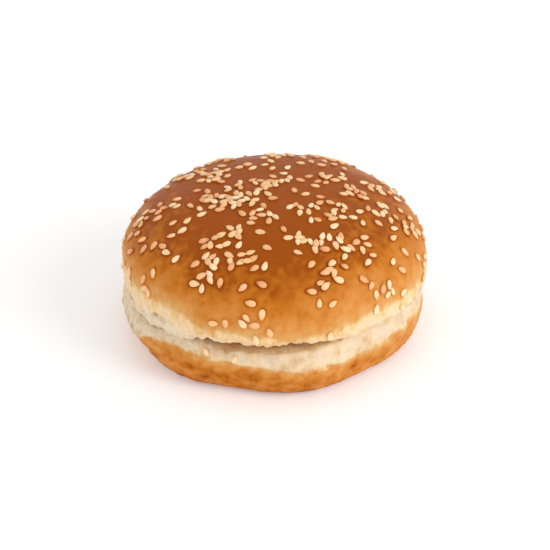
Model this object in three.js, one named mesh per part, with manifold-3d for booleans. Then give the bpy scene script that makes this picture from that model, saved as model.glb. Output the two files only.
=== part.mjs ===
// A sliced burger bun: a domed crown sprinkled with sesame seeds lies on its heel.
// Millimetres, +Z up, with the origin in the middle of the flat base. The front is -Y, and a turn
// is an angle round the bun in degrees, from the front towards +X.

import * as THREE from "three";
import { mergeVertices } from "three/addons/utils/BufferGeometryUtils.js";
import Module from "manifold-3d";

// The whole bun
const ACROSS = 102;
const TALL = 50.5;
const CUT_HEIGHT = 19.9;
const CUT_GAP = 0.4;

// The crown: a squarish dome that rolls in to its lower lip
const WIDEST_HEIGHT = 24;
const DOME_POWER = 2.5;
const LIP_ROLL = 2.6;
const DOME_LEAN = -0.8;

// The heel: a pale side over a browned rim that curves in to the flat base
const HEEL_ACROSS = 98.6;
const SHOULDER_INSET = 0.9;
const SHOULDER_ROLL = 2.0;
const SHOULDER_DROP = 2.6;
const RIM_HEIGHT = 12.4;
const BASE_ACROSS = 84.6;
const RIM_POWER = 1.85;

// How the outline departs from a circle: waves round the bun, each a share of the radius
const CROWN_WAVES = [
  { count: 2, share: 0.007, turn: -32 },
  { count: 3, share: 0.011, turn: 38 },
  { count: 5, share: 0.002, turn: 10 },
];
const HEEL_WAVES = [
  { count: 1, share: 0.004, turn: -90 },
  { count: 2, share: 0.006, turn: -74 },
  { count: 3, share: 0.009, turn: -37 },
  { count: 5, share: 0.012, turn: 16 },
  { count: 7, share: 0.013, turn: 11 },
];

// The soft lumps of the dough, and how far the cut rises from side to side and from front to back
const LUMP_HEIGHT = 0.45;
const LUMP_LENGTH = 19;
const CUT_RISE = { x: 3.4, y: -1.7 };

// The mouth at the front, where the crown's lip stands off the heel's edge
const MOUTH = { turn: -3, halfWidth: 32, inTo: 30, rise: 1.1, fall: 0.7 };

// Where the bun was pulled off its neighbours in the tin: the side is flatter there, and ragged
const TORN_SIDES = [
  { turn: -77, reach: 49.4 },
  { turn: 126, reach: 50.2 },
];
const TORN_GIVE = 0.45;
const TORN_HALF_WIDTH = 34;
const RAGGED_DEPTH = 0.35;
const RAGGED_TOP = 27;

// There tufts of crumb stand out over the rim
const TUFT_OUT = 2.1;
const TUFT_HEIGHT = 14;
const TUFT_REACH = 7;

// Sesame seeds
const SEED_LENGTH = 3.4;
const SEED_WIDTH = 2.14;
const SEED_EDGE = 0.4;
const SEED_TOP = 0.85;
const SEED_ROOT = 2.2;
const SEED_TAPER = 0.3;
const SEED_SPREAD = 0.12;
const DICE_START = 20719;

// Where more seeds fell: the turn, how far out along the crust from the top to the lip as a share,
// how many seeds, and how far they scatter in millimetres
const CLUMPS = [
  { turn: -70, out: 0.3, seeds: 16, scatter: 8.0 },
  { turn: 40, out: 0.56, seeds: 12, scatter: 6.5 },
  { turn: -27, out: 0.65, seeds: 9, scatter: 6.0 },
  { turn: 34, out: 0.28, seeds: 9, scatter: 6.5 },
  { turn: -12, out: 0.27, seeds: 10, scatter: 6.0 },
  { turn: -32, out: 0.5, seeds: 9, scatter: 5.5 },
  { turn: 23, out: 0.64, seeds: 9, scatter: 6.0 },
  { turn: -128, out: 0.08, seeds: 9, scatter: 6.0 },
  { turn: 54, out: 0.36, seeds: 9, scatter: 6.5 },
  { turn: 75, out: 0.53, seeds: 9, scatter: 6.5 },
  { turn: 21, out: 0.47, seeds: 11, scatter: 6.5 },
  { turn: -7, out: 0.85, seeds: 6, scatter: 6.5 },
  { turn: 131, out: 0.09, seeds: 7, scatter: 5.5 },
  { turn: -82, out: 0.51, seeds: 6, scatter: 6.0 },
  { turn: -24, out: 0.39, seeds: 5, scatter: 3.5 },
  { turn: 78, out: 0.67, seeds: 5, scatter: 4.0 },
  { turn: 110, out: 0.3, seeds: 8, scatter: 7.0 },
  { turn: -132, out: 0.32, seeds: 6, scatter: 6.5 },
  { turn: -85, out: 0.16, seeds: 5, scatter: 4.0 },
  { turn: -34, out: 0.21, seeds: 4, scatter: 5.0 },
  { turn: -16, out: 0.52, seeds: 6, scatter: 5.0 },
  { turn: 43, out: 0.79, seeds: 5, scatter: 6.5 },
  { turn: -54, out: 0.81, seeds: 3, scatter: 4.5 },
  { turn: -150, out: 0.55, seeds: 9, scatter: 6.5 },
  { turn: 150, out: 0.55, seeds: 10, scatter: 7.0 },
  { turn: 178, out: 0.42, seeds: 8, scatter: 5.5 },
];
const CLUMP_CLEARANCE = 1.7;

// Seeds that fell singly: thickly on top, thinly towards the lip
const SINGLE_SEEDS = 104;
const SINGLE_CLEARANCE = 3.3;
const THICK_UNTIL = 0.62;
const THIN_FROM = 0.86;
const THIN_SHARE = 0.12;
const FURTHEST_OUT = 0.94;

// Three seeds that stuck to the heel's pale side
const HEEL_SEEDS = [
  { turn: -26, height: 16.0, spin: 80 },
  { turn: -15, height: 14.6, spin: 65 },
  { turn: 142, height: 15.2, spin: 20 },
];

// How finely the surfaces are divided
const DOME_GRID = 16;
const HEEL_SIDES = 54;
const ROLL_STEPS = 4;
const RIM_STEPS = 6;
const FINE_STEPS = 48;
const SEED_SIDES = 6;

const CRUST_COLOUR = 0xb5651d;
const CRUMB_COLOUR = 0xd9a765;

const radians = THREE.MathUtils.degToRad;

const wasm = await Module();
wasm.setup();

// A quarter of a superellipse in (radius, height), from where it stands upright to where it lies level.
function quarter(upright, level, power, steps) {
  const points = [];
  for (let i = 0; i <= steps; i++) {
    const angle = (Math.PI / 2) * (i / steps);
    const across = i === steps ? 0 : Math.cos(angle) ** (2 / power);
    const along = Math.sin(angle) ** (2 / power);
    points.push(
      new THREE.Vector2(
        level.x + (upright.x - level.x) * across,
        upright.y + (level.y - upright.y) * along,
      ),
    );
  }
  return points;
}

// The crown's crust from the top of the dome out and down to its lip, as (radius, height).
function crustProfile(domeSteps, rollSteps) {
  const widest = new THREE.Vector2(ACROSS / 2, WIDEST_HEIGHT);
  const top = new THREE.Vector2(0, TALL);
  const lip = new THREE.Vector2(ACROSS / 2 - LIP_ROLL, CUT_HEIGHT + CUT_GAP / 2);
  const dome = quarter(widest, top, DOME_POWER, domeSteps).reverse();
  const roll = quarter(widest, lip, 2, rollSteps);
  return [...dome, ...roll.slice(1)];
}

function heelProfile() {
  const top = CUT_HEIGHT - CUT_GAP / 2;
  const side = HEEL_ACROSS / 2 - SHOULDER_INSET;
  const shoulder = quarter(
    new THREE.Vector2(side, top - SHOULDER_DROP),
    new THREE.Vector2(side - SHOULDER_ROLL, top),
    2,
    ROLL_STEPS,
  );
  const rim = quarter(
    new THREE.Vector2(HEEL_ACROSS / 2, RIM_HEIGHT),
    new THREE.Vector2(BASE_ACROSS / 2, 0),
    RIM_POWER,
    RIM_STEPS,
  );
  const middle = (RIM_HEIGHT + top - SHOULDER_DROP) / 2;
  const sideMiddle = new THREE.Vector2(side + SHOULDER_INSET * 0.6, middle);
  return [
    new THREE.Vector2(0, 0),
    ...rim.reverse(),
    sideMiddle,
    ...shoulder,
    new THREE.Vector2(MOUTH.inTo, top),
    new THREE.Vector2(0, top),
  ];
}

function waves(turn, table) {
  let sum = 1;
  for (const wave of table) sum += wave.share * Math.cos(wave.count * radians(turn - wave.turn));
  return sum;
}

const turnOf = (x, y) => THREE.MathUtils.radToDeg(Math.atan2(x, -y));

// How far the slanting cut lies above its middle at a place, in both halves alike.
function cutRise(x, y) {
  return (CUT_RISE.x * x + CUT_RISE.y * y) / ACROSS;
}

// How widely the cut gapes at a place, from 0 to 1: most at the edge in the middle of the mouth.
function gape(x, y) {
  const away = Math.abs(turnOf(x, y) - MOUTH.turn);
  const along = 1 - THREE.MathUtils.smoothstep(away, MOUTH.halfWidth * 0.4, MOUTH.halfWidth);
  return along * THREE.MathUtils.smoothstep(Math.hypot(x, y), MOUTH.inTo, ACROSS / 2 - LIP_ROLL);
}

function lumps(x, y) {
  const long = Math.sin(x / LUMP_LENGTH + 0.9) * Math.cos(y / (LUMP_LENGTH * 1.2) + 0.3);
  const short = Math.cos((x + y) / (LUMP_LENGTH * 0.62)) * Math.sin((x - 2 * y) / (LUMP_LENGTH * 1.3));
  return LUMP_HEIGHT * (long + 0.5 * short);
}

// Presses in what lies beyond a torn side's reach, in both halves alike.
function pressSides(point) {
  for (const { turn, reach } of TORN_SIDES) {
    const angle = radians(turn);
    const [outX, outY] = [Math.sin(angle), -Math.cos(angle)];
    const beyond = point.x * outX + point.y * outY - reach;
    if (beyond > 0) {
      point.x -= beyond * (1 - TORN_GIVE) * outX;
      point.y -= beyond * (1 - TORN_GIVE) * outY;
    }
  }
  return point;
}

// How far the pale band between the lip and the rim stands in or out, as a share of the radius.
function ragged(turn, z) {
  const within = THREE.MathUtils.clamp(Math.min(z - RIM_HEIGHT + 2, RAGGED_TOP - z) / 4, 0, 1);
  const rough = Math.sin(radians(turn * 17)) * Math.cos(z / 2.3 + radians(turn * 5));
  return (RAGGED_DEPTH * within * rough) / (ACROSS / 2);
}

// Moves a point of a torn side out to the face of its tufts.
function tufted(point, turn, z) {
  let torn = 0;
  for (const side of TORN_SIDES) {
    const away = Math.abs(((turn - side.turn + 540) % 360) - 180);
    torn = Math.max(torn, 1 - THREE.MathUtils.smoothstep(away, TORN_HALF_WIDTH * 0.6, TORN_HALF_WIDTH));
  }
  const near = 1 - THREE.MathUtils.smoothstep(Math.abs(z - TUFT_HEIGHT), TUFT_REACH / 3, TUFT_REACH);
  const share = 1 + (TUFT_OUT * torn * near) / (ACROSS / 2);
  point.x *= share;
  point.y *= share;
  return point;
}

// Moves a point of the true round crown to its place on the real, uneven one.
function unevenCrown(point) {
  const { x, y, z } = point;
  const turn = turnOf(x, y);
  const share = waves(turn, CROWN_WAVES) + ragged(turn, z);
  const up = THREE.MathUtils.clamp((z - WIDEST_HEIGHT) / (TALL - WIDEST_HEIGHT), 0, 1);
  const risen = THREE.MathUtils.clamp((z - CUT_HEIGHT) / (TALL - CUT_HEIGHT), 0, 1);
  const lifted = MOUTH.rise * gape(x, y) * (1 - THREE.MathUtils.smoothstep(z, CUT_HEIGHT, RAGGED_TOP));
  point.set(
    x * share + DOME_LEAN * up,
    y * share,
    z + cutRise(x, y) * (1 - risen) + lumps(x, y) * up + lifted,
  );
  return tufted(pressSides(point), turn, z);
}

// Does the same for the heel, whose base stays flat.
function unevenHeel(point) {
  const { x, y, z } = point;
  const turn = turnOf(x, y);
  const share = waves(turn, HEEL_WAVES) + ragged(turn, z);
  const sunk = MOUTH.fall * gape(x, y) * THREE.MathUtils.smoothstep(z, RIM_HEIGHT, CUT_HEIGHT);
  point.set(x * share, y * share, z + cutRise(x, y) * (z / CUT_HEIGHT) - sunk);
  return tufted(pressSides(point), turn, z);
}

// A closed geometry as a solid, with its shared vertices merged and its empty faces left out.
function solidOf(geometry) {
  const bare = geometry.clone();
  bare.deleteAttribute("normal");
  bare.deleteAttribute("uv");
  const merged = mergeVertices(bare, 1e-4);
  const corners = merged.index.array;
  const faces = [];
  for (let i = 0; i < corners.length; i += 3) {
    const [a, b, c] = corners.slice(i, i + 3);
    if (a !== b && b !== c && c !== a) faces.push(a, b, c);
  }
  return new wasm.Manifold(
    new wasm.Mesh({
      numProp: 3,
      vertProperties: merged.attributes.position.array,
      triVerts: new Uint32Array(faces),
    }),
  );
}

function meshOf(solid, name, colour, roughness) {
  const made = solid.getMesh();
  const geometry = new THREE.BufferGeometry();
  geometry.setAttribute("position", new THREE.BufferAttribute(made.vertProperties, made.numProp));
  geometry.setIndex(new THREE.BufferAttribute(made.triVerts, 1));
  geometry.computeVertexNormals();
  const material = new THREE.MeshStandardMaterial({ color: colour, roughness, metalness: 0 });
  const mesh = new THREE.Mesh(geometry, material);
  mesh.name = name;
  return mesh;
}

// Moves every vertex of a geometry and makes it a solid.
function reshaped(geometry, move) {
  const position = geometry.attributes.position;
  const point = new THREE.Vector3();
  for (let i = 0; i < position.count; i++) {
    move(point.fromBufferAttribute(position, i));
    position.setXYZ(i, point.x, point.y, point.z);
  }
  return solidOf(geometry);
}

// Where a point of a square from -1 to 1 goes when its rings are drawn round into circles.
function rounded(x, y) {
  if (x === 0 && y === 0) return { ring: 0, angle: 0 };
  if (Math.abs(x) > Math.abs(y))
    return { ring: Math.abs(x), angle: (Math.PI / 4) * (y / x) + (x < 0 ? Math.PI : 0) };
  return { ring: Math.abs(y), angle: Math.PI / 2 - (Math.PI / 4) * (x / y) + (y < 0 ? Math.PI : 0) };
}

// The crown's bread: a box whose top is drawn into the dome, its sides into the roll of the lip and
// its underside into the cut. Unlike a turned shape, it has no crowd of thin faces at the top.
function crownBread() {
  const crust = crustProfile(DOME_GRID / 2, ROLL_STEPS);
  const box = new THREE.BoxGeometry(2, 2, 2, DOME_GRID, DOME_GRID, ROLL_STEPS);
  return reshaped(box, (point) => {
    const { ring, angle } = rounded(point.x, point.y);
    const stepsOut = Math.round((ring * DOME_GRID) / 2 + ((1 - point.z) / 2) * ROLL_STEPS);
    const at = crust[Math.min(stepsOut, crust.length - 1)];
    const radius = point.z === -1 ? at.x * ring : at.x;
    const height = point.z === -1 ? CUT_HEIGHT + CUT_GAP / 2 : at.y;
    unevenCrown(point.set(radius * Math.cos(angle), radius * Math.sin(angle), height));
  });
}

// The heel's bread: its profile turned round the upright axis.
function heelBread() {
  const turned = new THREE.LatheGeometry(heelProfile(), HEEL_SIDES).rotateX(Math.PI / 2);
  return reshaped(turned, unevenHeel);
}

// A dice that gives the same numbers from 0 to 1 in every run.
function dice(start) {
  let state = start;
  return () => {
    state = (state * 16807) % 2147483647;
    return state / 2147483647;
  };
}

const finePath = crustProfile(FINE_STEPS, FINE_STEPS / 4);
const fineLengths = [0];
for (let i = 1; i < finePath.length; i++)
  fineLengths.push(fineLengths[i - 1] + finePath[i].distanceTo(finePath[i - 1]));
const crustLength = fineLengths[fineLengths.length - 1];

// The place on the crust at a turn and a share of the way out from the top.
function crustPoint(turn, out) {
  const along = THREE.MathUtils.clamp(out, 0, 1) * crustLength;
  let i = 1;
  while (i < fineLengths.length - 1 && fineLengths[i] < along) i++;
  const part = (along - fineLengths[i - 1]) / (fineLengths[i] - fineLengths[i - 1]);
  const at = finePath[i - 1].clone().lerp(finePath[i], part);
  const angle = radians(turn);
  return unevenCrown(new THREE.Vector3(at.x * Math.sin(angle), -at.x * Math.cos(angle), at.y));
}

// The place on the heel's pale side at a turn and a height.
function heelPoint(turn, height) {
  const radius = HEEL_ACROSS / 2 - SHOULDER_INSET * 0.6;
  const angle = radians(turn);
  return unevenHeel(new THREE.Vector3(radius * Math.sin(angle), -radius * Math.cos(angle), height));
}

// A seed's place: its point, the crust's outward normal there and its spin round that normal.
function seedPlace(point, outward, spin, size) {
  return { point, outward, spin, size };
}

// The crust's outward normal, from two short steps along it.
function crustNormal(turn, out) {
  const step = 0.01;
  const ahead = crustPoint(turn, out + step).sub(crustPoint(turn, out - step));
  const sideways = crustPoint(turn + 1, out).sub(crustPoint(turn - 1, out));
  return ahead.cross(sideways).normalize();
}

// How likely a single seed is to stay at a share of the way out.
function thickness(out) {
  const fall = THREE.MathUtils.clamp((out - THICK_UNTIL) / (THIN_FROM - THICK_UNTIL), 0, 1);
  return 1 - (1 - THIN_SHARE) * fall;
}

// Lays the seeds of the crown, clumps first, by a seeded draw.
function sprinkle() {
  const roll = dice(DICE_START);
  const laid = [];
  const clear = (point, least) => laid.every((seed) => seed.point.distanceTo(point) >= least);
  const lay = (turn, out, least) => {
    const point = crustPoint(turn, out);
    const spin = 360 * roll();
    const size = 1 + SEED_SPREAD * (2 * roll() - 1);
    if (out > FURTHEST_OUT || !clear(point, least)) return false;
    laid.push(seedPlace(point, crustNormal(turn, out), spin, size));
    return true;
  };
  for (const clump of CLUMPS) {
    const around = crustPoint(clump.turn, clump.out);
    const radius = Math.max(2, Math.hypot(around.x, around.y));
    for (let left = clump.seeds, tries = 0; left > 0 && tries < 400; tries++) {
      const away = clump.scatter * roll();
      const way = 2 * Math.PI * roll();
      const turn = clump.turn + THREE.MathUtils.radToDeg((away * Math.sin(way)) / radius);
      const out = Math.abs(clump.out + (away * Math.cos(way)) / crustLength);
      if (lay(turn, out, CLUMP_CLEARANCE)) left--;
    }
  }
  for (let left = SINGLE_SEEDS, tries = 0; left > 0 && tries < 6000; tries++) {
    const out = FURTHEST_OUT * roll();
    const turn = 360 * roll();
    const around = crustPoint(turn, out);
    const share = (Math.hypot(around.x, around.y) / (ACROSS / 2)) * thickness(out);
    if (roll() < share && lay(turn, out, SINGLE_CLEARANCE)) left--;
  }
  return laid;
}

// One faceted seed, narrower at one end, rooted in what it lies on.
function seedSolid(seed) {
  const geometry = new THREE.SphereGeometry(1, SEED_SIDES, 2).rotateX(Math.PI / 2);
  const position = geometry.attributes.position;
  for (let i = 0; i < position.count; i++) {
    const [x, y, z] = [position.getX(i), position.getY(i), position.getZ(i)];
    const height = z > 0 ? SEED_EDGE + (SEED_TOP - SEED_EDGE) * z : SEED_EDGE + (SEED_ROOT + SEED_EDGE) * z;
    position.setXYZ(i, (x * SEED_LENGTH) / 2, (y * (1 - SEED_TAPER * x) * SEED_WIDTH) / 2, height);
  }
  geometry.scale(seed.size, seed.size, seed.size);
  geometry.rotateZ(radians(seed.spin));
  const stand = new THREE.Quaternion().setFromUnitVectors(new THREE.Vector3(0, 0, 1), seed.outward);
  geometry.applyQuaternion(stand);
  geometry.translate(seed.point.x, seed.point.y, seed.point.z);
  return solidOf(geometry);
}

function crown() {
  const seeds = sprinkle().map(seedSolid);
  return meshOf(wasm.Manifold.union([crownBread(), ...seeds]), "crown", CRUST_COLOUR, 0.45);
}

function heel() {
  const seeds = HEEL_SEEDS.map(({ turn, height, spin }) => {
    const point = heelPoint(turn, height);
    const outward = new THREE.Vector3(Math.sin(radians(turn)), -Math.cos(radians(turn)), 0);
    return seedSolid(seedPlace(point, outward, spin, 1));
  });
  return meshOf(wasm.Manifold.union([heelBread(), ...seeds]), "heel", CRUMB_COLOUR, 0.7);
}

const bun = new THREE.Group();
bun.name = "burger bun";
bun.add(crown(), heel());

export default bun;
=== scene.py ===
import math

import bmesh
import bpy
from mathutils import Matrix, Quaternion, Vector, kdtree, noise


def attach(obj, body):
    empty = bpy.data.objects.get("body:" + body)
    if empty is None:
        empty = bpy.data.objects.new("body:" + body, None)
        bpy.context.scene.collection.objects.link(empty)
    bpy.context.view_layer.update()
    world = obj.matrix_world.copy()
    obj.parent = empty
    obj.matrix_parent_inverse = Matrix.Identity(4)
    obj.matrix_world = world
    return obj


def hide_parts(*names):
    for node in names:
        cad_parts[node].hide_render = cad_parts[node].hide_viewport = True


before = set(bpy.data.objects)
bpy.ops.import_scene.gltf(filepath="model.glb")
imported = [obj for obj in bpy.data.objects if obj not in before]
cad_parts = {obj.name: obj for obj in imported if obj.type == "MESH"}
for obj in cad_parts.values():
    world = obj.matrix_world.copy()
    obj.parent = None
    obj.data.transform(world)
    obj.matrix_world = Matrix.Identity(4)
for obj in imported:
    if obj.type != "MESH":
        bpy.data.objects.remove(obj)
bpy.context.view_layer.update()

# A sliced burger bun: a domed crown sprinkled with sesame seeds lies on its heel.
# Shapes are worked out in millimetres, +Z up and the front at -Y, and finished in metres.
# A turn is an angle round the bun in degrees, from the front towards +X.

METRES = 0.001

# The whole bun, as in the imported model
ACROSS = 102
TALL = 50.5
CUT_HEIGHT = 19.9
CUT_GAP = 0.4

# The crown: a squarish dome that rolls in to its lower lip
WIDEST_HEIGHT = 24
DOME_POWER = 2.5
LIP_ROLL = 2.6
DOME_LEAN = -0.8

# The heel: a pale side over a browned rim that curves in to the flat base
HEEL_ACROSS = 98.6
SHOULDER_INSET = 0.9
SHOULDER_ROLL = 2.0
SHOULDER_DROP = 2.6
RIM_HEIGHT = 12.4
BASE_ACROSS = 84.6
RIM_POWER = 1.85

# How the outline departs from a circle: (waves round the bun, share of the radius, turn)
CROWN_WAVES = [(2, 0.007, -32), (3, 0.011, 38), (5, 0.002, 10)]
HEEL_WAVES = [(1, 0.004, -90), (2, 0.006, -74), (3, 0.009, -37), (5, 0.012, 16), (7, 0.013, 11)]

# The soft lumps of the dough, and how far the cut rises from side to side and from front to back
LUMP_HEIGHT = 0.45
LUMP_LENGTH = 19
CUT_RISE = (3.4, -1.7)

# The mouth at the front, where the crown's lip stands off the heel's edge
MOUTH_TURN = -3
MOUTH_HALF_WIDTH = 32
MOUTH_IN_TO = 30
MOUTH_RISE = 1.1
MOUTH_FALL = 0.7

# Where the bun was pulled off its neighbours in the tin: (turn, reach)
TORN_SIDES = [(-77, 49.4), (126, 50.2)]
TORN_GIVE = 0.45
TORN_HALF_WIDTH = 34
RAGGED_DEPTH = 0.35
RAGGED_TOP = 27

# There tufts of crumb stand out over the rim
TUFT_OUT = 2.1
TUFT_HEIGHT = 14
TUFT_REACH = 7

# Sesame seeds
SEED_LENGTH = 3.3
SEED_WIDTH = 1.85
SEED_EDGE = 0.4
SEED_TOP = 0.85
SEED_SUNK = 0.3
SEED_TAPER = 0.3
SEED_SPREAD = 0.12
DICE_START = 20719

# Where more seeds fell: (turn, share of the way out along the crust, seeds, scatter)
CLUMPS = [
    (-70, 0.3, 16, 8.0),
    (40, 0.56, 12, 6.5),
    (-27, 0.65, 9, 6.0),
    (34, 0.28, 9, 6.5),
    (-12, 0.27, 10, 6.0),
    (-32, 0.5, 9, 5.5),
    (23, 0.64, 9, 6.0),
    (-128, 0.08, 9, 6.0),
    (54, 0.36, 9, 6.5),
    (75, 0.53, 9, 6.5),
    (21, 0.47, 11, 6.5),
    (-7, 0.85, 6, 6.5),
    (131, 0.09, 7, 5.5),
    (-82, 0.51, 6, 6.0),
    (-24, 0.39, 5, 3.5),
    (78, 0.67, 5, 4.0),
    (110, 0.3, 8, 7.0),
    (-132, 0.32, 6, 6.5),
    (-85, 0.16, 5, 4.0),
    (-34, 0.21, 4, 5.0),
    (-16, 0.52, 6, 5.0),
    (43, 0.79, 5, 6.5),
    (-54, 0.81, 3, 4.5),
    (-150, 0.55, 9, 6.5),
    (150, 0.55, 10, 7.0),
    (178, 0.42, 8, 5.5),
]
CLUMP_CLEARANCE = 1.7

# Seeds that fell singly: thickly on top, thinly towards the lip
SINGLE_SEEDS = 104
SINGLE_CLEARANCE = 3.3
THICK_UNTIL = 0.62
THIN_FROM = 0.86
THIN_SHARE = 0.12
FURTHEST_OUT = 0.94

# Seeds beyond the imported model's: more clumps, then single ones towards the lip
MORE_CLUMPS = [
    (-58, 0.22, 6, 4.5),
    (-46, 0.08, 4, 4.0),
    (90, 0.41, 6, 5.0),
    (103, 0.52, 5, 5.0),
    (-84, 0.62, 5, 5.0),
    (-116, 0.3, 6, 5.0),
    (-122, 0.48, 6, 5.0),
    (-12, 0.58, 4, 5.0),
]
LOW_SEEDS = 40
LOW_FROM = 0.66
LOW_CLEARANCE = 2.7

# Three seeds that stuck to the heel's pale side: (turn, height, spin)
HEEL_SEEDS = [(-26, 16.0, 80), (-15, 14.6, 65), (142, 15.2, 20)]

# How far down the crown is browned, round the bun: (turn, height)
BROWNED_DOWN_TO = [
    (-165, 26.5), (-130, 28.0), (-90, 29.4), (-64, 30.2), (-45, 30.0), (-35, 28.9), (-26, 27.0),
    (-13, 26.7), (-3, 25.8), (8, 25.7), (16, 26.7), (26, 28.5), (38, 30.3), (52, 29.4), (66, 28.6),
    (110, 26.5), (150, 28.0),
]

# How far up the heel is browned, round the bun: (turn, height)
BROWNED_UP_TO = [
    (-170, 12.2), (-130, 11.4), (-90, 8.2), (-66, 8.2), (-57, 11.0), (-50, 14.1), (-40, 15.1),
    (-30, 15.0), (-22, 13.3), (-6, 13.0), (0, 11.7), (9, 11.2), (17, 12.5), (25, 11.2), (34, 12.3),
    (48, 13.2), (56, 14.0), (64, 15.6), (80, 14.5), (100, 11.6), (126, 9.6), (150, 12.8),
]

# How badly the side is torn, and how high up, round the bun: (turn, share) and (turn, height)
TORN = [
    (-150, 0.25), (-105, 0.8), (-75, 1.0), (-38, 1.0), (-20, 0.5), (0, 0.3), (40, 0.3),
    (80, 0.35), (108, 0.9), (140, 0.9), (165, 0.3),
]
TORN_UP_TO = [
    (-150, 20.0), (-105, 20.5), (-84, 18.0), (-66, 22.0), (-54, 22.6), (-42, 24.4), (-35, 21.8),
    (-30, 20.4), (-15, 20.0), (0, 19.8), (60, 20.2), (108, 23.0), (126, 24.4), (145, 23.0),
    (170, 20.5),
]


def clamp(value, low=0.0, high=1.0):
    return max(low, min(high, value))


def ease(value, start, end):
    """Goes smoothly from 0 at start to 1 at end."""
    share = clamp((value - start) / (end - start))
    return share * share * (3 - 2 * share)


def along_stops(stops, value):
    """The height at a value, straight between the stops."""
    if value <= stops[0][0]:
        return stops[0][1]
    for (low, at_low), (high, at_high) in zip(stops, stops[1:]):
        if value <= high:
            return at_low + (at_high - at_low) * (value - low) / (high - low)
    return stops[-1][1]


def round_the_bun(stops, turn):
    """The value at a turn, eased between the stops round the bun."""
    turn = (turn - stops[0][0]) % 360 + stops[0][0]
    closed = [*stops, (stops[0][0] + 360, stops[0][1])]
    for (low, at_low), (high, at_high) in zip(closed, closed[1:]):
        if turn <= high:
            return at_low + (at_high - at_low) * ease(turn, low, high)


# The shape of the bread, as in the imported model

def quarter(upright, level, power, steps):
    """A quarter of a superellipse in (radius, height), from where it is upright to where it is level."""
    points = []
    for i in range(steps + 1):
        angle = math.pi / 2 * i / steps
        across = 0.0 if i == steps else math.cos(angle) ** (2 / power)
        along = math.sin(angle) ** (2 / power)
        radius = level[0] + (upright[0] - level[0]) * across
        points.append((radius, upright[1] + (level[1] - upright[1]) * along))
    return points


class Path:
    """A profile of (radius, height) points, followed by the share of its length."""

    def __init__(self, points):
        self.points = points
        self.lengths = [0.0]
        for here, there in zip(points, points[1:]):
            self.lengths.append(self.lengths[-1] + math.dist(here, there))
        self.length = self.lengths[-1]

    def at(self, share):
        along = clamp(share) * self.length
        i = 1
        while i < len(self.lengths) - 1 and self.lengths[i] < along:
            i += 1
        part = (along - self.lengths[i - 1]) / (self.lengths[i] - self.lengths[i - 1])
        (r0, z0), (r1, z1) = self.points[i - 1], self.points[i]
        return r0 + (r1 - r0) * part, z0 + (z1 - z0) * part


# Steps along a quarter of a profile; a small roll has a fourth of them
FINE_STEPS = 48


def crust_path():
    """The crown's crust from the top of the dome out and down to its lip."""
    widest = (ACROSS / 2, WIDEST_HEIGHT)
    lip = (ACROSS / 2 - LIP_ROLL, CUT_HEIGHT + CUT_GAP / 2)
    dome = quarter(widest, (0, TALL), DOME_POWER, FINE_STEPS)[::-1]
    roll = quarter(widest, lip, 2, FINE_STEPS // 4)
    return Path([*dome, *roll[1:]])


def heel_path():
    """The heel's side from the edge of the base up round the rim to the edge of the cut."""
    side = HEEL_ACROSS / 2 - SHOULDER_INSET
    top = CUT_HEIGHT - CUT_GAP / 2
    rim = quarter((HEEL_ACROSS / 2, RIM_HEIGHT), (BASE_ACROSS / 2, 0), RIM_POWER, FINE_STEPS)[::-1]
    shoulder = quarter((side, top - SHOULDER_DROP), (side - SHOULDER_ROLL, top), 2, FINE_STEPS // 4)
    middle = (side + SHOULDER_INSET * 0.6, (RIM_HEIGHT + top - SHOULDER_DROP) / 2)
    return Path([*rim, middle, *shoulder])


CRUST = crust_path()
HEEL_SIDE = heel_path()


def turn_of(x, y):
    return math.degrees(math.atan2(x, -y))


def waves(turn, table):
    return 1 + sum(share * math.cos(count * math.radians(turn - at)) for count, share, at in table)


def cut_rise(x, y):
    """How far the slanting cut lies above its middle at a place, in both halves alike."""
    return (CUT_RISE[0] * x + CUT_RISE[1] * y) / ACROSS


def gape(x, y):
    """How widely the cut gapes at a place, from 0 to 1: most at the edge in the middle of the mouth."""
    away = abs(turn_of(x, y) - MOUTH_TURN)
    along = 1 - ease(away, MOUTH_HALF_WIDTH * 0.4, MOUTH_HALF_WIDTH)
    return along * ease(math.hypot(x, y), MOUTH_IN_TO, ACROSS / 2 - LIP_ROLL)


def lumps(x, y):
    long = math.sin(x / LUMP_LENGTH + 0.9) * math.cos(y / (LUMP_LENGTH * 1.2) + 0.3)
    short = math.cos((x + y) / (LUMP_LENGTH * 0.62)) * math.sin((x - 2 * y) / (LUMP_LENGTH * 1.3))
    return LUMP_HEIGHT * (long + 0.5 * short)


def press_sides(x, y, z):
    """Presses in what lies beyond a torn side's reach, in both halves alike."""
    for turn, reach in TORN_SIDES:
        out_x, out_y = math.sin(math.radians(turn)), -math.cos(math.radians(turn))
        beyond = x * out_x + y * out_y - reach
        if beyond > 0:
            x -= beyond * (1 - TORN_GIVE) * out_x
            y -= beyond * (1 - TORN_GIVE) * out_y
    return x, y, z


def ragged(turn, z):
    """How far the pale band between the lip and the rim stands in or out, as a share of the radius."""
    within = clamp(min(z - RIM_HEIGHT + 2, RAGGED_TOP - z) / 4)
    rough = math.sin(math.radians(turn * 17)) * math.cos(z / 2.3 + math.radians(turn * 5))
    return RAGGED_DEPTH * within * rough / (ACROSS / 2)


def tufted(place, turn, z):
    """Moves a place of a torn side out to the face of its tufts."""
    torn = 0.0
    for side, _ in TORN_SIDES:
        away = abs((turn - side + 540) % 360 - 180)
        torn = max(torn, 1 - ease(away, TORN_HALF_WIDTH * 0.6, TORN_HALF_WIDTH))
    near = 1 - ease(abs(z - TUFT_HEIGHT), TUFT_REACH / 3, TUFT_REACH)
    share = 1 + TUFT_OUT * torn * near / (ACROSS / 2)
    return place[0] * share, place[1] * share, place[2]


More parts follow.
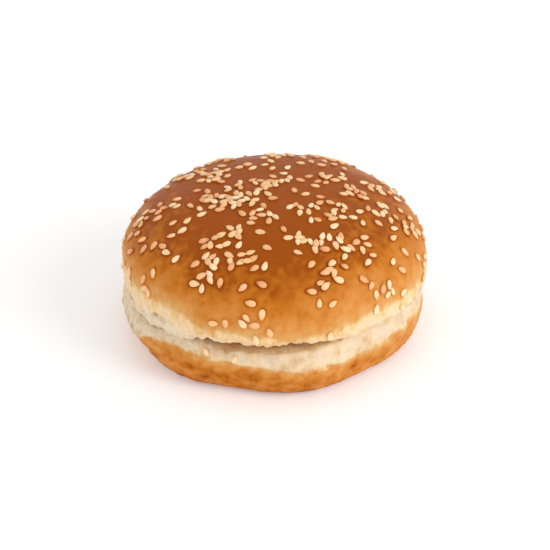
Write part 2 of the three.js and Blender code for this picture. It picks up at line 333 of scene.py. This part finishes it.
def uneven_crown(x, y, z):
    """Moves a point of the true round crown to its place on the real, uneven one."""
    turn = turn_of(x, y)
    share = waves(turn, CROWN_WAVES) + ragged(turn, z)
    up = clamp((z - WIDEST_HEIGHT) / (TALL - WIDEST_HEIGHT))
    risen = clamp((z - CUT_HEIGHT) / (TALL - CUT_HEIGHT))
    lifted = MOUTH_RISE * gape(x, y) * (1 - ease(z, CUT_HEIGHT, RAGGED_TOP))
    height = z + cut_rise(x, y) * (1 - risen) + lumps(x, y) * up + lifted
    return tufted(press_sides(x * share + DOME_LEAN * up, y * share, height), turn, z)


def uneven_heel(x, y, z):
    """Does the same for the heel, whose base stays flat."""
    turn = turn_of(x, y)
    share = waves(turn, HEEL_WAVES) + ragged(turn, z)
    sunk = MOUTH_FALL * gape(x, y) * ease(z, RIM_HEIGHT, CUT_HEIGHT)
    height = z + cut_rise(x, y) * (z / CUT_HEIGHT) - sunk
    return tufted(press_sides(x * share, y * share, height), turn, z)


def crust_point(turn, out):
    """The place on the crown's crust at a turn and a share of the way out from the top."""
    radius, height = CRUST.at(out)
    angle = math.radians(turn)
    return uneven_crown(radius * math.sin(angle), -radius * math.cos(angle), height)


def crust_normal(turn, out):
    """The crust's outward normal, from two short steps along it."""
    step = 0.01
    ahead = Vector(crust_point(turn, out + step)) - Vector(crust_point(turn, out - step))
    sideways = Vector(crust_point(turn + 1, out)) - Vector(crust_point(turn - 1, out))
    return ahead.cross(sideways).normalized()


def heel_point(turn, height):
    """The place on the heel's pale side at a turn and a height."""
    radius = HEEL_ACROSS / 2 - SHOULDER_INSET * 0.6
    angle = math.radians(turn)
    return uneven_heel(radius * math.sin(angle), -radius * math.cos(angle), height)


# The fine relief of the bread, and how each place of it is baked

PALE, CREAM, GOLD, AMBER, BROWN, DEEP = 0.0, 0.12, 0.34, 0.55, 0.8, 1.0

# How far the skin is baked, by how far it lies over the lowest browned height of the crown, or under
# the highest one of the heel, in millimetres
CROWN_BAKE = [(-5.0, PALE), (-1.9, CREAM), (0, GOLD), (4.6, AMBER), (13, BROWN), (22, DEEP)]
HEEL_BAKE = [(-3.0, PALE), (-1.2, CREAM), (0.1, GOLD), (1.5, AMBER), (5, 0.7), (13.0, 0.76)]

# How far the crown's skin is coloured darker towards its left and paler towards its right, and how far the
# heel's is coloured darker towards its right, which a negative amount makes paler
CROWN_LEFT_TONE = 0.07
HEEL_RIGHT_TONE = -0.12

# How far torn crumb fills the groove along the cut on each half: (out, reach above and below)
CROWN_FILL = (1.5, 2.0)
HEEL_FILL = (1.9, 3.4)

# Which way each half's relief runs. The crown's stands out. The heel's is turned inwards, so that its
# tufts and wrinkles are dents there, its pores are bumps, and its fill deepens the groove
CROWN_RELIEF_WAY = 1
HEEL_RELIEF_WAY = -1


def swell(at, size, octaves=3):
    """Soft uneven waves of about a size, from -1 to 1."""
    return noise.fractal(at / size, 1.0, 2.0, octaves)


def pits(at, size):
    """Round hollows of about a size: 1 in the middle of one and 0 between them."""
    nearest = noise.voronoi(at / size)[0][0]
    return 1 - ease(nearest, 0.12, 0.55)


def creases(at, size):
    """A net of thin wandering creases of about a size: 1 in a crease and 0 between them."""
    return 1 - ease(abs(swell(at, size)), 0.0, 0.16)


def flattened(at, share):
    """A place whose patterns come out long upright, for a share under 1, or level, for one above."""
    return Vector((at.x, at.y, at.z * share))


def torn_share(at, turn):
    """How far a place of the side is torn crumb and not skin, from 0 to 1."""
    edge = round_the_bun(TORN_UP_TO, turn) + 0.7 * swell(at, 3.0)
    return round_the_bun(TORN, turn) * (1 - ease(at.z, edge - 0.5, edge + 0.5))


def crumb_relief(at):
    """How far torn crumb stands out: tufts of two sizes, and here and there an open pore."""
    tufts = 0.6 * swell(flattened(at, 0.5), 4.0, 2) + 0.34 * swell(at, 1.9, 2)
    return tufts - 0.6 * ease(swell(at, 6.0, 2), -0.05, 0.3) * pits(at, 2.7)


def above_cut(at, opened):
    """How high a place lies over the edge of the cut, which the mouth moves as far as opened says."""
    return at.z - CUT_HEIGHT - cut_rise(at.x, at.y) - opened * gape(at.x, at.y)


def groove_fill(at, turn, fill):
    """How far torn crumb stands out of the groove along the cut, where it still hangs together."""
    out, reach = fill
    torn = ease(round_the_bun(TORN, turn), 0.6, 1.0)
    return out * torn * math.exp(-((above_cut(at, 0) / reach) ** 2))


def cut_finish(at):
    """(relief, bake, torn, painted shade) of a place on the sliced crumb."""
    pores = 0.6 * pits(at, 2.4) + 0.4 * pits(at, 1.2)
    # The pores sink in, and the same measure darkens them as painted shade
    return -0.2 * pores, PALE, 1.0, pores


def crown_finish(at):
    """(relief, bake, torn, painted shade) of a place on the crown's crust."""
    turn = turn_of(at.x, at.y)
    fibres = swell(flattened(at, 0.3), 3.1, 3) * (0.6 + swell(at, 8.0, 2))
    rise = at.z - round_the_bun(BROWNED_DOWN_TO, turn) + 1.3 * swell(at, 6.5, 4) + 0.35 * fibres
    bake = along_stops(CROWN_BAKE, rise) - CROWN_LEFT_TONE * at.x / (ACROSS / 2) * ease(rise, 0, 8)
    torn = torn_share(at, turn)
    lip = 1 - ease(above_cut(at, MOUTH_RISE), 0.6, 4.2)
    pale = 1 - ease(rise, -1.0, 3.0)
    skin = 0.18 * swell(at, 11.0, 2) + 0.07 * swell(at, 3.2, 3) + 0.05 * pale * fibres
    flakes = 0.9 * swell(flattened(at, 2.5), 2.8, 3) + 0.4 * swell(at, 1.4, 2)
    edge = lip * (flakes + 0.1) * (1 - 0.5 * torn)
    crumb = crumb_relief(at) + groove_fill(at, turn, CROWN_FILL)
    # Painted shade: darker where the crumb's relief dips low, and between the lip's flakes
    painted_shade = clamp(0.35 - crumb) + 0.5 * lip * clamp(-flakes)
    return skin * (1 - torn) + edge + (crumb - 0.2) * torn, bake, torn, painted_shade


def heel_finish(at):
    """(relief, bake, torn, painted shade) of a place on the heel's side or base."""
    turn = turn_of(at.x, at.y)
    edge = round_the_bun(BROWNED_UP_TO, turn) + 0.9 * swell(at, 3.6) + 0.7 * swell(at, 1.4, 2)
    below = edge - at.z
    spots = ease(swell(at, 2.2, 2), 0.15, 0.45) * (1 - ease(at.z, 1.0, 3.0))
    bake = along_stops(HEEL_BAKE, below) + 0.24 * swell(at, 6.0) + 0.16 * swell(at, 2.4, 2)
    # The right side is coloured paler, dark spots are added near the base, and the lowest millimetre or so
    # is darkened as a painted contact shadow
    bake += HEEL_RIGHT_TONE * ease(at.x, 5, 45) + 0.34 * spots + 0.24 * (1 - ease(at.z, 0.3, 1.3))
    skin = ease(below, -1.6, 0.7)
    torn = (1 - skin) * (0.5 + 0.5 * round_the_bun(TORN, turn))
    depth = -above_cut(at, -MOUTH_FALL)
    # Painted shadow: in the mouth under the lip, fading to the right, and along the seam, weaker where the
    # side is torn
    mouth_shadow = gape(at.x, at.y) * (1.1 - 0.8 * ease(turn, -4, 9))
    seam_shadow = (0.8 - 0.65 * ease(round_the_bun(TORN, turn), 0.5, 1.0)) * (1 - ease(depth, 0.8, 2.8))
    painted_lip_shadow = mouth_shadow * (1 - ease(depth, 0.4, 4.6)) + seam_shadow
    curl = 0.3 * math.exp(-(((below - 0.4) / 0.6) ** 2)) * (1 + 1.4 * swell(at, 2.0))
    crease = creases(flattened(at, 1.6), 5.0)
    wrinkles = 0.2 * swell(at, 3.4, 4) + 0.22 * swell(at, 9.0, 2) - 0.22 * crease
    crumb = crumb_relief(at) + groove_fill(at, turn, HEEL_FILL)
    # Painted shade: darker in the dips of the torn crumb, in the skin's creases, and under the lip
    painted_shade = clamp(0.35 - crumb) * torn + 0.6 * crease * skin + painted_lip_shadow
    relief = (wrinkles * skin + curl) * (1 - torn) + (crumb * 0.7 - 0.1) * torn
    return relief * ease(at.z, 0.1, 2.0), bake, torn, painted_shade


# The bread's meshes: faces across the top or base, the share of the crust that they cover on the crown,
# then rows of faces down the side and rings across the cut
CELLS = 136
DOME_SHARE = 0.36
CROWN_ROWS = 84
HEEL_ROWS = 54
CUT_RINGS = 12


def drum(rows):
    """A square grid, then rows of faces down from its edge, then rings that close in below. The z of
    each vertex counts its row."""
    made = bmesh.new()
    bmesh.ops.create_grid(made, x_segments=CELLS, y_segments=CELLS, size=1)
    edge = [e for e in made.edges if e.is_boundary]
    for row in range(1, rows + CUT_RINGS + 1):
        grown = bmesh.ops.extrude_edge_only(made, edges=edge)["geom"]
        ring = [part for part in grown if isinstance(part, bmesh.types.BMVert)]
        edge = [part for part in grown if isinstance(part, bmesh.types.BMEdge) and part.is_boundary]
        bmesh.ops.translate(made, vec=(0, 0, -1), verts=ring)
    bmesh.ops.pointmerge(made, verts=ring, merge_co=(0, 0, -(rows + CUT_RINGS)))
    return made


def rounded(x, y):
    """Where a point of a square from -1 to 1 goes when its rings are drawn round: (ring, angle)."""
    if x == 0 and y == 0:
        return 0.0, 0.0
    if abs(x) > abs(y):
        return abs(x), math.pi / 4 * (y / x) + (math.pi if x < 0 else 0)
    return abs(y), math.pi / 2 - math.pi / 4 * (x / y) + (math.pi if y < 0 else 0)


def half_of_bun(name, rows, station, uneven, finish, relief_way, stands):
    """One half: a drum whose rows follow the half's profile, made uneven, then given its relief."""
    made = drum(rows)
    # Each place keeps how baked and how torn it is, its painted shade, and in ring how much painted shadow
    # a seed casts on it
    layers = [made.verts.layers.float.new(kind) for kind in ("bake", "torn", "painted_shade", "ring")]
    on_cut = set()
    for vert in made.verts:
        row = round(-vert.co.z)
        ring, angle = rounded(vert.co.x, vert.co.y)
        if row > rows:
            on_cut.add(vert.index)
            ring = 1 - (row - rows) / CUT_RINGS
            row = rows
        radius, height = station(ring, row / rows)
        vert.co = uneven(radius * math.cos(angle), radius * math.sin(angle), height)
    bmesh.ops.recalc_face_normals(made, faces=made.faces)
    # That can turn the whole of a low shell inwards, as it does the heel's, and its volume shows it
    if made.calc_volume(signed=True) < 0:
        bmesh.ops.reverse_faces(made, faces=made.faces)
    made.normal_update()
    seed_shadow = seed_shadows(stands)
    raised = []
    for vert in made.verts:
        relief, *kinds = cut_finish(vert.co) if vert.index in on_cut else finish(vert.co)
        for layer, kind in zip(layers, [*kinds, seed_shadow(vert.co)]):
            vert[layer] = kind
        raised.append(vert.co + vert.normal * relief * relief_way)
    for vert, place in zip(made.verts, raised):
        vert.co = place
        vert.co.z = max(vert.co.z, 0.0)
    return finished(name, made)


def crown_station(ring, down):
    """(radius, height) on the crown: the dome's top, its side down to the lip, then the cut."""
    if down == 0:
        return CRUST.at(ring * DOME_SHARE)
    radius, height = CRUST.at(DOME_SHARE + (1 - DOME_SHARE) * down)
    return radius * ring, height


def heel_station(ring, up):
    """(radius, height) on the heel: the flat base, the side up to the shoulder, then the cut."""
    radius, height = HEEL_SIDE.at(up)
    return radius * ring, height


def finished(name, made):
    """Ends a bmesh in millimetres as a smooth object in metres, with its place in its mesh."""
    bmesh.ops.scale(made, vec=Vector((METRES,) * 3), verts=made.verts)
    mesh = bpy.data.meshes.new(name)
    made.to_mesh(mesh)
    made.free()
    for face in mesh.polygons:
        face.use_smooth = True
    piece = bpy.data.objects.new(name, mesh)
    bpy.context.scene.collection.objects.link(piece)
    return piece


# The seeds

CLUMP_TRIES = 400
SINGLE_TRIES = 6000
CROWN_SEED_DICE = 7919
HEEL_SEED_DICE = 104729


def dice(start):
    """A dice that gives the same numbers from 0 to 1 in every run."""
    state = start
    while True:
        state = (state * 16807) % 2147483647
        yield state / 2147483647


def thickness(out):
    """How likely a single seed is to stay at a share of the way out."""
    fall = clamp((out - THICK_UNTIL) / (THIN_FROM - THICK_UNTIL))
    return 1 - (1 - THIN_SHARE) * fall


def sprinkle():
    """The crown's seeds, clumps first, as (point, outward, spin, size), by a seeded draw."""
    roll = dice(DICE_START)
    laid = []

    def lay(turn, out, least):
        point = crust_point(turn, out)
        spin = 360 * next(roll)
        size = 1 + SEED_SPREAD * (2 * next(roll) - 1)
        if out > FURTHEST_OUT or any(math.dist(seed[0], point) < least for seed in laid):
            return False
        laid.append((point, crust_normal(turn, out), spin, size))
        return True

    def lay_clump(clump_turn, clump_out, left, scatter):
        around = crust_point(clump_turn, clump_out)
        radius = max(2, math.hypot(around[0], around[1]))
        for _ in range(CLUMP_TRIES):
            if left == 0:
                break
            away = scatter * next(roll)
            way = 2 * math.pi * next(roll)
            turn = clump_turn + math.degrees(away * math.sin(way) / radius)
            out = abs(clump_out + away * math.cos(way) / CRUST.length)
            left -= lay(turn, out, CLUMP_CLEARANCE)

    for clump in CLUMPS:
        lay_clump(*clump)
    left = SINGLE_SEEDS
    for _ in range(SINGLE_TRIES):
        if left == 0:
            break
        out = FURTHEST_OUT * next(roll)
        turn = 360 * next(roll)
        around = crust_point(turn, out)
        share = math.hypot(around[0], around[1]) / (ACROSS / 2) * thickness(out)
        if next(roll) < share:
            left -= lay(turn, out, SINGLE_CLEARANCE)
    for clump in MORE_CLUMPS:
        lay_clump(*clump)
    left = LOW_SEEDS
    while left > 0:
        out = LOW_FROM + (FURTHEST_OUT - LOW_FROM) * next(roll)
        left -= lay(360 * next(roll), out, LOW_CLEARANCE)
    return laid


# A seed this near to an earlier one lies on it, so it is lifted and tilted
PILE_REACH = 2.5
PILE_LIFT = 0.55
PILE_TILT = 0.45

# How far any seed leans at random, and between which heights the seeds grow more toasted
LEAN = 0.22
UNTOASTED_BELOW = 21.0
TOASTED_ABOVE = 34.0


def seed_stands(places, start):
    """How each seed lies, as (matrix, toast, plump); one on an earlier seed is lifted and leans."""
    roll = dice(start)
    stands = []
    for i, (point, outward, spin, size) in enumerate(places):
        point = Vector(point)
        under = min(places[:i], key=lambda seed: math.dist(seed[0], point), default=None)
        pile = 0.0
        if under is not None:
            pile = clamp(1 - math.dist(under[0], point) / PILE_REACH)
            outward = (outward + (point - Vector(under[0])).normalized() * PILE_TILT * pile).normalized()
        toast = next(roll) * (0.3 + 0.7 * ease(point.z, UNTOASTED_BELOW, TOASTED_ABOVE))
        plump = 0.85 + 0.3 * next(roll)
        lean = Vector((next(roll) - 0.5, next(roll) - 0.5, next(roll) - 0.5)) * LEAN
        upright = Vector((0, 0, 1)).rotation_difference((outward + lean).normalized())
        turned = upright @ Quaternion((0, 0, 1), math.radians(spin))
        stand = Matrix.LocRotScale(point + outward * PILE_LIFT * pile, turned, Vector((size,) * 3))
        stands.append((stand, toast, plump))
    return stands


# How wide the painted shadow round a seed is, as a share of the seed
SEED_SHADOW_WIDTH = 0.42


def seed_shadows(stands):
    """How much painted shadow a seed casts on a place: 1 at the seed's edge and 0 away from it."""
    tree = kdtree.KDTree(len(stands))
    for i, (stand, _, _) in enumerate(stands):
        tree.insert(stand.translation, i)
    tree.balance()
    inverses = [stand.inverted() for stand, _, _ in stands]

    def seed_shadow(at):
        nearest = math.inf
        for _, i, _ in tree.find_range(at, SEED_LENGTH):
            x, y, _ = inverses[i] @ at
            nearest = min(nearest, math.hypot(x * 2 / SEED_LENGTH, y * 2 / SEED_WIDTH) - 1)
        return math.exp(-((max(nearest, 0) / SEED_SHADOW_WIDTH) ** 2))

    return seed_shadow


SEED_SIDES = 10
SEED_BANDS = 6
SEED_POINT = 0.1


def seeds_of(name, stands):
    """One mesh of seeds: each a drop-shaped bead, narrower at one end and flatter above."""
    unit = bmesh.new()
    bmesh.ops.create_uvsphere(unit, u_segments=SEED_SIDES, v_segments=SEED_BANDS, radius=1)
    scratch = bpy.data.meshes.new("scratch")
    made = bmesh.new()
    for kind in ("toast", "tip"):
        made.verts.layers.float.new(kind)
    for stand, toast, plump in stands:
        seed = unit.copy()
        toast_of = seed.verts.layers.float.new("toast")
        tip_of = seed.verts.layers.float.new("tip")
        for vert in seed.verts:
            x, y, z = vert.co
            vert[toast_of] = toast
            vert[tip_of] = x
            above = (SEED_TOP * plump - SEED_EDGE) * z
            vert.co.x = (x + SEED_POINT * x * abs(x)) * SEED_LENGTH / 2 / (1 + SEED_POINT)
            vert.co.y = y * (1 - SEED_TAPER * x) * SEED_WIDTH / 2
            vert.co.z = SEED_EDGE + (above if z > 0 else (SEED_SUNK + SEED_EDGE) * z)
        bmesh.ops.transform(seed, matrix=stand, verts=seed.verts)
        seed.to_mesh(scratch)
        seed.free()
        made.from_mesh(scratch)
    unit.free()
    bpy.data.meshes.remove(scratch)
    return finished(name, made)


# Materials

def shade(red, green, blue):
    """A colour named as a screen shows it, 0 to 255, as the linear light that a shader takes."""
    linear = [((c / 255 + 0.055) / 1.055) ** 2.4 if c > 10 else c / 255 / 12.92 for c in (red, green, blue)]
    return (*linear, 1.0)


class Finish:
    """A new material, with short ways to add and join its nodes."""

    def __init__(self, name):
        self.material = bpy.data.materials.new(name)
        self.material.use_nodes = True
        self.tree = self.material.node_tree
        self.shader = self.tree.nodes["Principled BSDF"]

    def feed(self, socket, value):
        if isinstance(value, bpy.types.NodeSocket):
            self.tree.links.new(value, socket)
        else:
            socket.default_value = value

    def add(self, kind, inputs, **settings):
        made = self.tree.nodes.new("ShaderNode" + kind)
        for name, value in settings.items():
            setattr(made, name, value)
        for where, value in inputs.items():
            self.feed(made.inputs[where], value)
        return made

    def own(self, attribute):
        return self.add("Attribute", {}, attribute_name=attribute).outputs["Fac"]

    def place(self, scale):
        coordinates = self.add("TexCoord", {}).outputs["Object"]
        return self.add("Mapping", {"Vector": coordinates, "Scale": scale}).outputs["Vector"]

    def grain(self, size, detail=3.0, scale=(1, 1, 1)):
        """Even noise from about 0.3 to 0.7, with features of about a size in millimetres."""
        inputs = {"Vector": self.place(scale), "Scale": 1 / (size * METRES), "Detail": detail}
        return self.add("TexNoise", inputs).outputs["Fac"]

    def sum(self, a, b):
        return self.add("Math", {0: a, 1: b}, operation="ADD").outputs[0]

    def times(self, a, b):
        return self.add("Math", {0: a, 1: b}, operation="MULTIPLY").outputs[0]

    def span(self, value, low, high, to_low=0.0, to_high=1.0):
        inputs = {0: value, 1: low, 2: high, 3: to_low, 4: to_high}
        return self.add("MapRange", inputs).outputs[0]

    def ramp(self, value, stops):
        made = self.add("ValToRGB", {0: value})
        made.color_ramp.elements[0].position, made.color_ramp.elements[0].color = stops[0]
        made.color_ramp.elements[1].position, made.color_ramp.elements[1].color = stops[-1]
        for position, colour in stops[1:-1]:
            made.color_ramp.elements.new(position).color = colour
        return made.outputs["Color"]

    def mix(self, share, a, b):
        inputs = {"Factor": share, "A": a, "B": b}
        made = self.tree.nodes.new("ShaderNodeMix")
        made.data_type = "RGBA"
        for socket in made.inputs:
            if socket.name in inputs and socket.type in ("RGBA", "VALUE") and not socket.is_linked:
                if (socket.name == "Factor") == (socket.type == "VALUE"):
                    self.feed(socket, inputs[socket.name])
        return next(out for out in made.outputs if out.type == "RGBA")

    def bump(self, height, depth, below=None):
        inputs = {"Height": height, "Distance": depth * METRES}
        if below is not None:
            inputs["Normal"] = below
        return self.add("Bump", inputs).outputs["Normal"]

    def surface(self, **inputs):
        for name, value in inputs.items():
            self.feed(self.shader.inputs[name.replace("_", " ")], value)
        return self.material


def bread_finish(name, gloss):
    """Baked bread: skin that goes from cream through gold and amber to brown, and torn crumb, both darkened
    by painted shade.
    """
    f = Finish(name)
    bake, torn, painted_shade, ring = [f.own(kind) for kind in ("bake", "torn", "painted_shade", "ring")]
    uneven = f.sum(f.times(f.grain(9.0), 0.16), f.times(f.grain(1.6, 4.0), 0.1))
    pale = f.span(bake, GOLD, BROWN, 1.0, 0.0)
    fibres = f.times(f.span(f.grain(1.5, 4.0, (1, 1, 0.2)), 0.3, 0.7, -0.03, 0.03), pale)
    lip = f.span(bake, PALE, GOLD, 1.0, 0.0)
    flecks = f.times(f.span(f.grain(1.3, 3.0), 0.36, 0.6, 0.09, -0.05), lip)
    # Painted shade: a shadow ring round each seed, stronger on browner skin, and the painted shade of
    # hollows, creases and the lip
    painted_shadow_tone = f.sum(f.times(ring, f.span(bake, GOLD, BROWN, 0.05, 0.24)), f.times(painted_shade, 0.2))
    tone = f.sum(f.sum(bake, f.sum(uneven, -0.13)), f.sum(f.sum(fibres, flecks), painted_shadow_tone))
    skin = f.ramp(tone, [
        (PALE, shade(240, 214, 184)),
        (CREAM + 0.04, shade(240, 205, 152)),
        (GOLD, shade(218, 166, 100)),
        (AMBER, shade(213, 141, 66)),
        (BROWN, shade(194, 112, 24)),
        (DEEP, shade(158, 76, 2)),
    ])
    streaks = f.span(f.grain(1.7, 3.0, (1, 1, 0.4)), 0.3, 0.7, -0.15, 0.2)
    blotches = f.sum(f.span(f.grain(2.6, 4.0), 0.3, 0.7, -0.15, 0.3), f.times(streaks, torn))
    # The crumb's colour: random blotches and streaks, darkened by painted shade
    blotched_and_shaded = f.sum(f.times(painted_shade, 0.8), blotches)
    crumb = f.ramp(blotched_and_shaded, [
        (0.0, shade(233, 216, 186)),
        (0.35, shade(222, 198, 166)),
        (0.75, shade(204, 172, 140)),
        (1.0, shade(170, 138, 104)),
    ])
    fine = f.bump(f.grain(0.55, 3.0), 0.05)
    normal = f.bump(f.times(f.grain(1.0, 4.0), f.span(f.sum(torn, lip), 0.0, 1.0)), 0.4, fine)
    rough = f.span(f.sum(bake, f.times(torn, -1.0)), PALE, BROWN, 0.85, gloss)
    return f.surface(
        Base_Color=f.mix(torn, skin, crumb),
        Roughness=rough,
        Normal=normal,
        IOR=1.2,
        Subsurface_Weight=0.1,
        Subsurface_Radius=(1.0, 0.5, 0.25),
        Subsurface_Scale=0.002,
    )


def seed_finish():
    """Hulled sesame seed: ivory, more or less toasted, browner at its narrow tip."""
    f = Finish("hulled sesame")
    toast, tip = f.own("toast"), f.own("tip")
    browner = f.sum(f.times(f.span(tip, 0.2, 1.0), 0.3), f.times(f.grain(1.5), 0.2))
    tone = f.sum(f.times(toast, 0.75), browner)
    colour = f.ramp(tone, [
        (0.1, shade(252, 222, 178)),
        (0.45, shade(246, 198, 142)),
        (0.8, shade(238, 174, 116)),
        (1.0, shade(220, 146, 88)),
    ])
    return f.surface(
        Base_Color=colour,
        Roughness=0.36,
        Normal=f.bump(f.grain(0.5), 0.06),
        Subsurface_Weight=0.2,
        Subsurface_Radius=(1.0, 0.6, 0.35),
        Subsurface_Scale=0.0012,
    )


def floor_finish():
    f = Finish("pale floor")
    return f.surface(
        Base_Color=shade(238, 238, 238), Roughness=0.9, Specular_IOR_Level=0.1, Emission_Strength=FLOOR_GLOW
    )


# The pieces

def dress(piece, node, material):
    piece.data.materials.append(material)
    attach(piece, "root")
    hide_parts(node)


CRUMBS_ROUND = 190
CRUMB_SIZES = (0.25, 0.65)
CRUMB_DICE = 65537


def crumbs_of(name):
    """One mesh of loose crumbs: lumpy specks that cling to the heel's torn sides and the rim's edge."""
    roll = dice(CRUMB_DICE)
    unit = bmesh.new()
    bmesh.ops.create_icosphere(unit, subdivisions=1, radius=0.5)
    scratch = bpy.data.meshes.new("scratch")
    made = bmesh.new()
    kept = 0
    while kept < CRUMBS_ROUND:
        turn = 360 * next(roll) - 180
        share, tall, wide = next(roll), next(roll), next(roll)
        low, high = round_the_bun(BROWNED_UP_TO, turn), round_the_bun(TORN_UP_TO, turn)
        if wide > round_the_bun(TORN, turn):
            continue
        kept += 1
        height = low + (high - low) * share**2
        size = CRUMB_SIZES[0] + (CRUMB_SIZES[1] - CRUMB_SIZES[0]) * tall**2
        crumb = unit.copy()
        for vert in crumb.verts:
            vert.co *= 1 + 0.5 * (next(roll) - 0.5)
        stand = Matrix.LocRotScale(
            Vector(heel_point(turn, min(height, CUT_HEIGHT - 1))),
            Quaternion((wide, share, tall), 6.28 * share),
            Vector((size * 1.5, size, size * 0.8)),
        )
        bmesh.ops.transform(crumb, matrix=stand, verts=crumb.verts)
        crumb.to_mesh(scratch)
        crumb.free()
        made.from_mesh(scratch)
    unit.free()
    bpy.data.meshes.remove(scratch)
    torn = made.verts.layers.float.new("torn")
    for vert in made.verts:
        vert[torn] = 1.0
    return finished(name, made)


def make_bun():
    crust = bread_finish("baked crust", 0.42)
    rim = bread_finish("baked rim", 0.6)
    sesame = seed_finish()
    on_crown = seed_stands(sprinkle(), CROWN_SEED_DICE)
    stuck = []
    for turn, height, spin in HEEL_SEEDS:
        outward = Vector((math.sin(math.radians(turn)), -math.cos(math.radians(turn)), 0))
        stuck.append((heel_point(turn, height), outward, spin, 1.0))
    on_heel = seed_stands(stuck, HEEL_SEED_DICE)
    crown_bread = half_of_bun(
        "crown_bread", CROWN_ROWS, crown_station, uneven_crown, crown_finish, CROWN_RELIEF_WAY, on_crown
    )
    heel_bread = half_of_bun(
        "heel_bread", HEEL_ROWS, heel_station, uneven_heel, heel_finish, HEEL_RELIEF_WAY, on_heel
    )
    dress(crown_bread, "crown", crust)
    dress(seeds_of("crown_seeds", on_crown), "crown", sesame)
    dress(heel_bread, "heel", rim)
    dress(seeds_of("heel_seeds", on_heel), "heel", sesame)
    dress(crumbs_of("heel_crumbs"), "heel", rim)


# The floor, the light and the camera, in metres, watts and degrees

FLOOR_ACROSS = 6.0
FLOOR_GLOW = 0.22
ROOM_LIGHT = 0.8
LIT_HEIGHT = 0.025
CAMERA_ELEVATION = 29.5
CAMERA_DISTANCE = 0.45
VIEWED_HEIGHT = 0.027
FRAMED_HEIGHT = 0.0176
PHOTO_PIXELS = 550
FOCAL_PIXELS = 1349


def make_floor():
    made = bmesh.new()
    bmesh.ops.create_grid(made, x_segments=1, y_segments=1, size=FLOOR_ACROSS / 2)
    mesh = bpy.data.meshes.new("floor")
    made.to_mesh(mesh)
    made.free()
    floor = bpy.data.objects.new("floor", mesh)
    mesh.materials.append(floor_finish())
    bpy.context.scene.collection.objects.link(floor)


def look_from(thing, place, at):
    thing.location = place
    thing.rotation_euler = (Vector(at) - Vector(place)).to_track_quat("-Z", "Y").to_euler()
    bpy.context.scene.collection.objects.link(thing)


def make_light(name, place, across, watts):
    data = bpy.data.lights.new(name, "AREA")
    data.shape = "DISK"
    data.size = across
    data.energy = watts
    look_from(bpy.data.objects.new(name, data), place, (0, 0, LIT_HEIGHT))


def make_surroundings():
    world = bpy.data.worlds.new("white room")
    world.use_nodes = True
    background = world.node_tree.nodes["Background"]
    background.inputs["Color"].default_value = (1, 1, 1, 1)
    background.inputs["Strength"].default_value = ROOM_LIGHT
    bpy.context.scene.world = world
    bpy.context.scene.view_settings.view_transform = "Standard"


def make_camera():
    data = bpy.data.cameras.new("camera")
    data.sensor_width = 36.0
    data.lens = data.sensor_width * FOCAL_PIXELS / PHOTO_PIXELS
    camera = bpy.data.objects.new("camera", data)
    up = math.radians(CAMERA_ELEVATION)
    back, rise = CAMERA_DISTANCE * math.cos(up), CAMERA_DISTANCE * math.sin(up)
    look_from(camera, (0, -back, VIEWED_HEIGHT + rise), (0, 0, FRAMED_HEIGHT))
    bpy.context.scene.camera = camera


make_camera()
make_floor()
make_surroundings()
make_light("key", place=(0.75, -0.48, 0.6), across=0.6, watts=4.2)
make_light("fill", place=(-0.5, -0.6, 0.5), across=0.7, watts=0.5)
make_bun()
